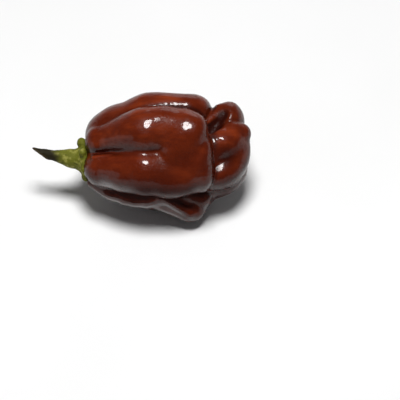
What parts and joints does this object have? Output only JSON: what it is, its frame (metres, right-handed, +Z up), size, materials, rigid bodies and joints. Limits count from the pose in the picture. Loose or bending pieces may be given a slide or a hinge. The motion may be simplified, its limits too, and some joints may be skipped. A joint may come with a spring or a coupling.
{
  "type": "chilli pepper",
  "caption": "Fresh lobed chilli pepper lying on its side, a glossy red-brown blocky pod with a puckered blossom end and a short green stalk on a toothed calyx.",
  "frame": {"origin": "middle of the bounding box in plan, at the surface that the pepper lies on", "axes": "+X from the stalk towards the blossom end, -Y towards the two front lobes, +Z up"},
  "size_m": [0.0612, 0.033, 0.0333],
  "materials": {
    "pod_skin": "glossy waxy skin in chocolate red-brown, redder on the crests",
    "stem_green": "dull mottled yellow-green, dark brown at the dried end"
  },
  "bodies": {
    "root": {"pod": "pod_skin", "stem": "stem_green"}
  },
  "joints": []
}
